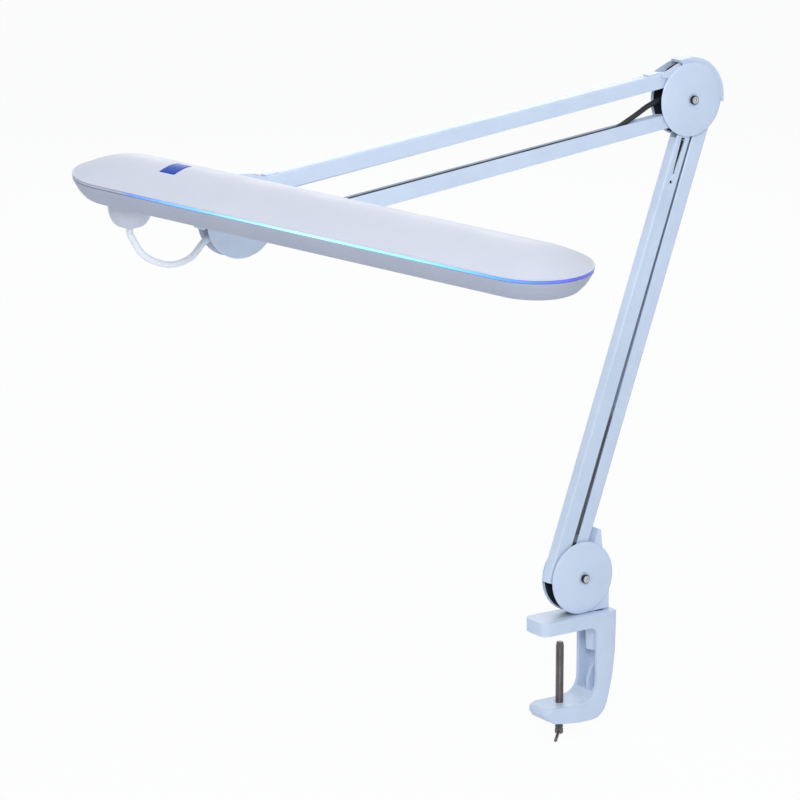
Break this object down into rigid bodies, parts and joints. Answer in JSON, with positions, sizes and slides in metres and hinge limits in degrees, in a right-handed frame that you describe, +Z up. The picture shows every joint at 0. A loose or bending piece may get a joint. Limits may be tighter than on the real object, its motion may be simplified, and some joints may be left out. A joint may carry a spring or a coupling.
{
  "type": "swing arm desk lamp",
  "caption": "Balanced swing arm desk lamp on a screw clamp, with paired channel arms, round disc joints, a long oval head lit along its edge, and a touch pad.",
  "frame": {"origin": "where the clamp screw's axis meets the underside of the upper jaw, the face that rests on the table", "axes": "+Z up, +X from the jaw's tip to the clamp's column, arms moving in the XZ plane"},
  "size_m": [0.6914, 0.476, 0.6372],
  "materials": {
    "casting": "white powder coat on a casting",
    "painted_steel": "smooth white powder coat, satin",
    "clamp_steel": "dark blackened steel, lightly worn",
    "zinc_steel": "bright zinc plating",
    "spring_steel": "bright spring wire",
    "black_plastic": "black moulded plastic, matt",
    "black_rubber": "black cord sheath and grommet",
    "white_cord": "white cord sheath, satin",
    "head_plastic": "white moulded plastic, fine texture",
    "tray_plastic": "pale grey moulded plastic, fine texture",
    "light_strip": "clear blue edge light, polished",
    "opal_plastic": "opal white plastic, satin",
    "board": "white circuit board",
    "blue_pad": "plain blue touch surface, polished"
  },
  "bodies": {
    "clamp": {"clamp_frame": "casting", "swivel_bush": "black_plastic"},
    "screw": {"clamp_screw": "clamp_steel", "tommy_bar": "clamp_steel"},
    "base": {"base_bracket": "painted_steel", "base_spool": "black_plastic", "base_cover_front": "painted_steel", "base_cover_back": "painted_steel", "base_bolt": "zinc_steel", "base_nut": "zinc_steel", "base_pin_1": "zinc_steel", "base_pin_2": "zinc_steel", "base_spindle": "zinc_steel"},
    "lower_outer": {"lower_outer_channel": "painted_steel", "lower_spring": "spring_steel"},
    "lower_inner": {"lower_inner_channel": "painted_steel", "lower_cord": "black_rubber", "cord_grommet": "black_rubber"},
    "elbow": {"elbow_bracket": "painted_steel", "elbow_spool": "black_plastic", "elbow_cover_front": "painted_steel", "elbow_cover_back": "painted_steel", "elbow_bolt": "zinc_steel", "elbow_nut": "zinc_steel", "elbow_pin_1": "zinc_steel", "elbow_pin_2": "zinc_steel", "elbow_pin_3": "zinc_steel", "elbow_pin_4": "zinc_steel", "elbow_cord": "black_rubber"},
    "upper_top": {"upper_top_channel": "painted_steel", "upper_spring": "spring_steel"},
    "upper_bottom": {"upper_bottom_channel": "painted_steel", "upper_cord": "black_rubber"},
    "head_joint": {"head_joint_bracket": "painted_steel", "head_joint_spool": "black_plastic", "head_joint_cover_front": "painted_steel", "head_joint_cover_back": "painted_steel", "head_joint_bolt": "zinc_steel", "head_joint_nut": "zinc_steel", "head_joint_pin_1": "zinc_steel", "head_joint_pin_2": "zinc_steel", "neck_pin": "zinc_steel", "head_cord": "white_cord"},
    "neck": {"neck_bar": "painted_steel"},
    "hub": {"hub_cup": "head_plastic"},
    "head": {"head_top_shell": "head_plastic", "head_tray": "tray_plastic", "light_strip": "light_strip", "diffuser": "opal_plastic", "led_board": "board", "driver": "opal_plastic", "touch_pad": "blue_pad", "head_screw_1": "zinc_steel", "head_screw_2": "zinc_steel", "head_screw_3": "zinc_steel", "head_screw_4": "zinc_steel", "swivel_stud": "zinc_steel", "swivel_washer": "black_plastic"}
  },
  "joints": [
    {"name": "clamp_screw", "type": "slide", "parent": "clamp", "child": "screw", "axis": [0, 0, 1], "range_m": [-0.05, 0.0078]},
    {"name": "base_swivel", "type": "hinge", "parent": "clamp", "child": "base", "pos_m": [0.0407, 0, 0.014], "axis": [0, 0, 1], "range_deg": [-180, 180]},
    {"name": "lower_arm", "type": "hinge", "parent": "base", "child": "lower_outer", "pos_m": [0.0153, 0, 0.0685], "axis": [0, 1, 0], "range_deg": [-84, 3.4], "deforming": ["lower_spring"]},
    {"name": "lower_inner", "type": "hinge", "parent": "base", "child": "lower_inner", "pos_m": [-0.0096, 0, 0.0517], "axis": [0, 1, 0], "range_deg": [-84, 3.4]},
    {"name": "elbow_level", "type": "hinge", "parent": "lower_outer", "child": "elbow", "pos_m": [0.16267, 0, 0.48606], "axis": [0, 1, 0], "range_deg": [-3.4, 84]},
    {"name": "upper_arm", "type": "hinge", "parent": "elbow", "child": "upper_top", "pos_m": [0.12747, 0, 0.51506], "axis": [0, 1, 0], "range_deg": [-43, 60], "deforming": ["upper_spring", "elbow_cord"]},
    {"name": "upper_bottom", "type": "hinge", "parent": "elbow", "child": "upper_bottom", "pos_m": [0.12017, 0, 0.47506], "axis": [0, 1, 0], "range_deg": [-43, 60]},
    {"name": "head_level", "type": "hinge", "parent": "upper_top", "child": "head_joint", "pos_m": [-0.34023, 0, 0.45945], "axis": [0, 1, 0], "range_deg": [-60, 43]},
    {"name": "neck_tilt", "type": "hinge", "parent": "head_joint", "child": "neck", "pos_m": [-0.39848, 0, 0.4577], "axis": [0, 1, 0], "range_deg": [-15, 15], "deforming": ["head_cord"]},
    {"name": "head_roll", "type": "hinge", "parent": "neck", "child": "hub", "pos_m": [-0.46126, 0, 0.45619], "axis": [0.9997, 0, 0.0241], "range_deg": [-25, 15]},
    {"name": "head_swivel", "type": "hinge", "parent": "hub", "child": "head", "pos_m": [-0.46126, 0, 0.45619], "axis": [-0.024, -0.0889, 0.9958], "range_deg": [-230, 8]}
  ],
  "couplings": [
    {"joint": "lower_inner", "follows": "lower_arm", "ratio": 1},
    {"joint": "elbow_level", "follows": "lower_arm", "ratio": -1},
    {"joint": "upper_bottom", "follows": "upper_arm", "ratio": 1},
    {"joint": "head_level", "follows": "upper_arm", "ratio": -1}
  ]
}
